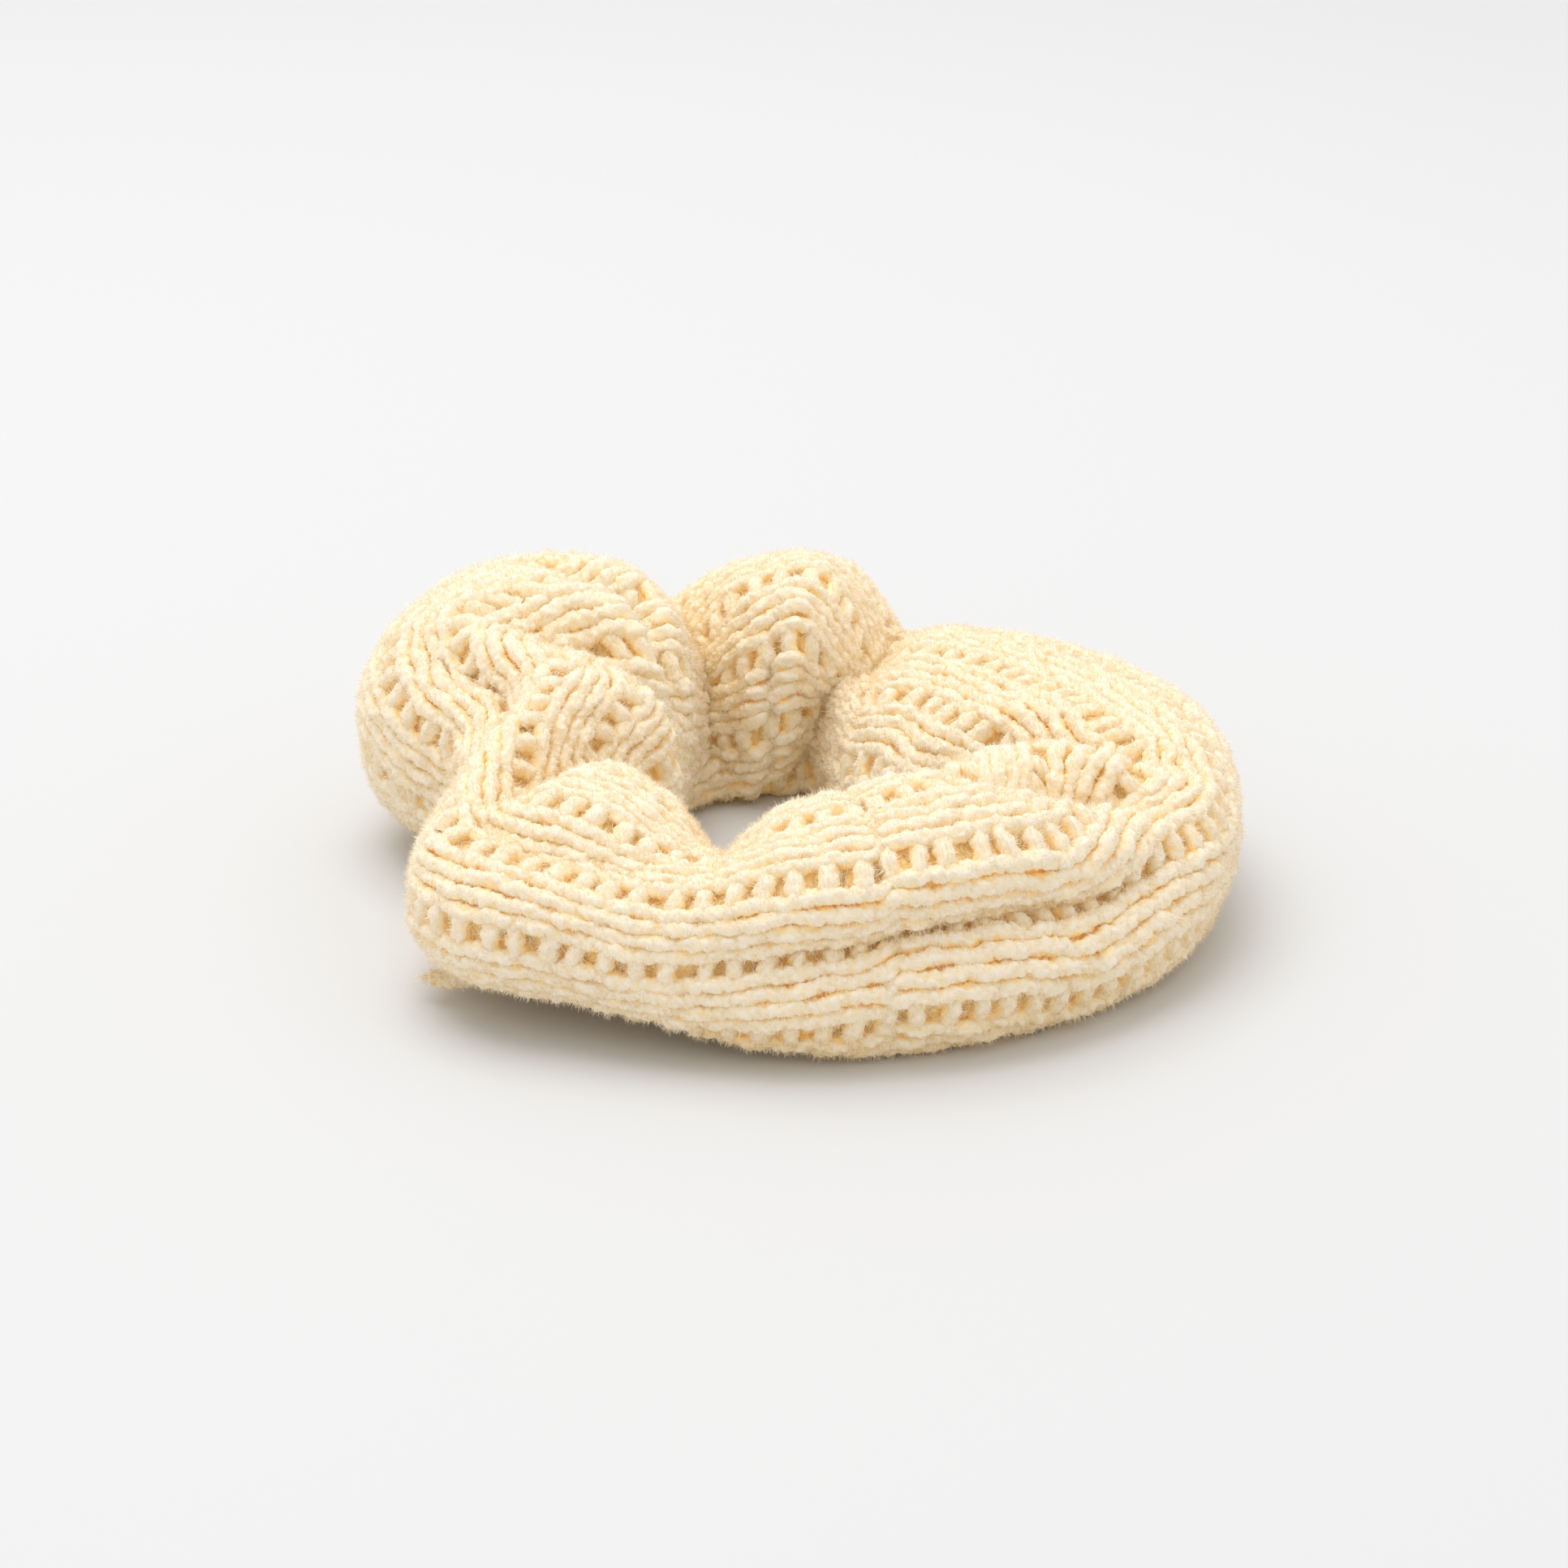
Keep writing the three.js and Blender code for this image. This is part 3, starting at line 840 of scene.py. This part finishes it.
class Nodes:
    """A small helper to lay out one node material."""

    def __init__(self, name):
        self.material = bpy.data.materials.new(name)
        self.material.use_nodes = True
        self.tree = self.material.node_tree
        self.shader = self.tree.nodes["Principled BSDF"]

    def add(self, kind, **values):
        node = self.tree.nodes.new(kind)
        for key, value in values.items():
            setattr(node, key, value)
        return node

    def join(self, source, target):
        self.tree.links.new(source, target)

    def ramp(self, source, stops):
        """A colour ramp over a value: (place, colour) stops."""
        node = self.add("ShaderNodeValToRGB")
        elements = node.color_ramp.elements
        while len(elements) < len(stops):
            elements.new(0.5)
        for element, (place, colour) in zip(elements, stops):
            element.position = place
            element.color = (*colour, 1)
        self.join(source, node.inputs["Fac"])
        return node.outputs["Color"]

    def with_painted_warm_shade(self, colour):
        """The colour multiplied by a painted warm shade, golden where the pale pile only gets light
        through more pile, in creases and hollows.
        """
        occlusion = self.add("ShaderNodeAmbientOcclusion", samples=4)
        occlusion.inputs["Distance"].default_value = PAINTED_SHADE_REACH
        # Painted shade: a warm tint from how near other surfaces are.
        painted_shade_tint = self.ramp(occlusion.outputs["AO"], [
            (0.0, (1.0, 0.86, 0.54)),
            (0.6, (1.0, 1.0, 1.0)),
        ])
        mix = self.add("ShaderNodeMix", data_type="RGBA", blend_type="MULTIPLY")
        mix.inputs["Factor"].default_value = 1.0
        self.join(colour, mix.inputs[MIX_COLOUR_A])
        self.join(painted_shade_tint, mix.inputs[MIX_COLOUR_B])
        return mix.outputs[MIX_COLOUR_OUT]

    def noise(self, scale, detail=2.0):
        place = self.add("ShaderNodeTexCoord")
        node = self.add("ShaderNodeTexNoise")
        node.inputs["Scale"].default_value = scale
        node.inputs["Detail"].default_value = detail
        self.join(place.outputs["Object"], node.inputs["Vector"])
        return node.outputs["Fac"]

    def bump(self, source, strength, distance):
        node = self.add("ShaderNodeBump")
        node.inputs["Strength"].default_value = strength
        node.inputs["Distance"].default_value = distance
        self.join(source, node.inputs["Height"])
        self.join(node.outputs["Normal"], self.shader.inputs["Normal"])


def chenille_material():
    """Cream pile, painted golden where its painted shade is low, between the cords, to nearly white
    at its tips, with a painted glow and painted warm shade.
    """
    nodes = Nodes("cream_chenille")
    shade = nodes.add("ShaderNodeAttribute", attribute_name="shade")
    # Painted shade and highlight: golden where the painted shade is low, nearly white at the lit
    # tips.
    colour = nodes.ramp(shade.outputs["Fac"], [
        (0.0, (0.95, 0.66, 0.24)),
        (0.25, (0.96, 0.75, 0.38)),
        (0.5, (0.97, 0.845, 0.60)),
        (1.0, (0.98, 0.905, 0.79)),
    ])
    nodes.join(nodes.with_painted_warm_shade(colour), nodes.shader.inputs["Base Color"])
    # Painted glow: a golden emission between the cords that stands in for light scattered through the
    # pile.
    painted_glow = nodes.ramp(shade.outputs["Fac"], [
        (0.0, (1.0, 0.68, 0.22)),
        (0.35, (0.45, 0.30, 0.10)),
        (0.6, (0.0, 0.0, 0.0)),
    ])
    nodes.join(painted_glow, nodes.shader.inputs["Emission Color"])
    nodes.shader.inputs["Emission Strength"].default_value = 0.2
    nodes.shader.inputs["Roughness"].default_value = 0.95
    nodes.shader.inputs["Specular IOR Level"].default_value = 0.15
    nodes.shader.inputs["Sheen Weight"].default_value = 0.15
    nodes.shader.inputs["Sheen Roughness"].default_value = 0.6
    nodes.bump(nodes.noise(2600.0, detail=3.0), strength=0.5, distance=0.0002)
    return nodes.material


def thread_material(name, tone):
    """A smooth twisted thread."""
    nodes = Nodes(name)
    dark = tuple(0.8 * part for part in tone)
    colour = nodes.ramp(nodes.noise(900.0), [(0.3, dark), (0.7, tone)])
    nodes.join(colour, nodes.shader.inputs["Base Color"])
    nodes.shader.inputs["Roughness"].default_value = 0.55
    nodes.shader.inputs["Sheen Weight"].default_value = 0.2
    nodes.bump(nodes.noise(6000.0), strength=0.5, distance=0.00004)
    return nodes.material


def elastic_material():
    nodes = Nodes("woven_elastic")
    colour = nodes.ramp(nodes.noise(2500.0), [
        (0.35, (0.72, 0.69, 0.62)),
        (0.65, (0.88, 0.86, 0.80)),
    ])
    nodes.join(colour, nodes.shader.inputs["Base Color"])
    nodes.shader.inputs["Roughness"].default_value = 0.7
    nodes.bump(nodes.noise(3500.0), strength=0.7, distance=0.0001)
    return nodes.material


def ground_material():
    """The thread ground that the cords are knitted on, painted tan to golden for the shade deep in
    the windows, with painted warm shade and a faint painted glow.
    """
    nodes = Nodes("thread_ground_painted_shade")
    # Painted shade: tan to golden for the shadowed depth of the windows, with random tone from the
    # noise.
    colour = nodes.ramp(nodes.noise(1500.0), [
        (0.3, (0.78, 0.55, 0.22)),
        (0.7, (0.92, 0.73, 0.40)),
    ])
    nodes.join(nodes.with_painted_warm_shade(colour), nodes.shader.inputs["Base Color"])
    nodes.shader.inputs["Roughness"].default_value = 0.85
    # Painted glow: a faint golden emission in the windows, for light scattered through the knit.
    nodes.shader.inputs["Emission Color"].default_value = (0.9, 0.56, 0.16, 1)
    nodes.shader.inputs["Emission Strength"].default_value = 0.05
    nodes.bump(nodes.noise(3000.0), strength=0.6, distance=0.00015)
    return nodes.material


# ---------- stage, in metres ----------
CAMERA_ELEVATION = 23.0
CAMERA_DISTANCE = 0.458
CAMERA_TARGET = Vector((0.00165, -0.0080, 0.015))
FLOOR_REACH = 3


def make_camera():
    """An 85 mm lens that looks down at the table."""
    elevation = math.radians(CAMERA_ELEVATION)
    data = bpy.data.cameras.new("camera")
    data.lens = 85.0
    data.sensor_width = 36.0
    data.shift_x = -0.012
    data.shift_y = 0.012
    camera = bpy.data.objects.new("camera", data)
    back = Vector((0.0, -math.cos(elevation), math.sin(elevation)))
    camera.location = CAMERA_TARGET + back * CAMERA_DISTANCE
    camera.rotation_mode = "QUATERNION"
    camera.rotation_quaternion = (-back).to_track_quat("-Z", "Y")
    bpy.context.scene.collection.objects.link(camera)
    bpy.context.scene.camera = camera


def add_softbox(name, place, size, energy):
    """A square area light at a place, turned to the middle of the table."""
    data = bpy.data.lights.new(name, "AREA")
    data.shape = "SQUARE"
    data.size = size
    data.energy = energy
    lamp = bpy.data.objects.new(name, data)
    lamp.location = place
    lamp.rotation_mode = "QUATERNION"
    lamp.rotation_quaternion = (-Vector(place)).to_track_quat("-Z", "Y")
    bpy.context.scene.collection.objects.link(lamp)


def make_studio():
    """A pale floor under an even white sky, with one softbox overhead."""
    corners = [(-1, -1), (1, -1), (1, 1), (-1, 1)]
    mesh = bpy.data.meshes.new("floor")
    mesh.from_pydata([(FLOOR_REACH * x, FLOOR_REACH * y, 0) for x, y in corners], [], [(0, 1, 2, 3)])
    floor = bpy.data.objects.new("floor", mesh)
    bpy.context.scene.collection.objects.link(floor)
    nodes = Nodes("studio_floor")
    nodes.shader.inputs["Base Color"].default_value = (0.70, 0.70, 0.70, 1)
    nodes.shader.inputs["Roughness"].default_value = 0.6
    nodes.shader.inputs["Specular IOR Level"].default_value = 0.1
    mesh.materials.append(nodes.material)
    world = bpy.data.worlds.new("studio")
    world.use_nodes = True
    world.node_tree.nodes["Background"].inputs["Color"].default_value = (1, 1, 1, 1)
    world.node_tree.nodes["Background"].inputs["Strength"].default_value = 0.86
    bpy.context.scene.world = world
    add_softbox("overhead", place=(-0.22, 0.22, 1.15), size=0.9, energy=7.6)
    bpy.context.scene.view_settings.view_transform = "Standard"


# ---------- the model ----------
def whole_piece(name, cloth, material, body, node):
    """The cloth as one piece that rides on one body and stands for one CAD node."""
    points, quads = np.concatenate(cloth.points), np.concatenate(cloth.quads)
    piece = make_piece(name, points, quads, material, np.concatenate(cloth.shades))
    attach(piece, body)
    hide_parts(node)


def make_sleeve(chenille, thread):
    """The ground of the sleeve, and lists of the cords, bars and threads of its portions."""
    ground = portion_pieces("sleeve_ground", make_ground(), ground_material(), "sleeve")
    cords = portion_pieces("chenille_cords", make_cords(), chenille)
    bars = portion_pieces("ladder_bars", make_bars(), chenille)
    threads = portion_pieces("window_threads", make_window_threads(), thread)
    return ground, list(zip(cords, bars, threads))


def declare_sheets(ground_pieces, knit_pieces, elastic_pieces):
    """Runs through the ground, knit and elastic pieces of each portion of the sleeve; nothing is
    declared.
    """
    for ground, knit, elastic in zip(ground_pieces, knit_pieces, elastic_pieces):
        list(knit)


def make_scrunchie():
    """The sleeve, what is sewn inside it, and the ends of its knit."""
    chenille = chenille_material()
    thread = thread_material("core_thread", (0.93, 0.76, 0.47))
    ground_pieces, knit_pieces = make_sleeve(chenille, thread)
    elastic_pieces = portion_pieces("elastic_band_soft", make_elastic(), elastic_material(),
                                    "elastic_band")
    portion_pieces("lengthwise_seam_soft", make_lengthwise_seam(), chenille,
                   "lengthwise_seam")
    declare_sheets(ground_pieces, knit_pieces, elastic_pieces)
    sewing_thread = thread_material("sewing_thread", (0.95, 0.86, 0.68))
    whole_piece("closing_seam_stitches", make_closing_thread(), sewing_thread,
                "portion_start", "closing_seam_thread")
    whole_piece("elastic_bar_tack", make_elastic_stitch(), thread,
                body_name(ELASTIC_JOIN_PORTION), "elastic_join_stitch")
    whole_piece("chenille_yarn_tail", make_tail(), chenille,
                "portion_10", "yarn_tail")


make_camera()
make_studio()
make_scrunchie()
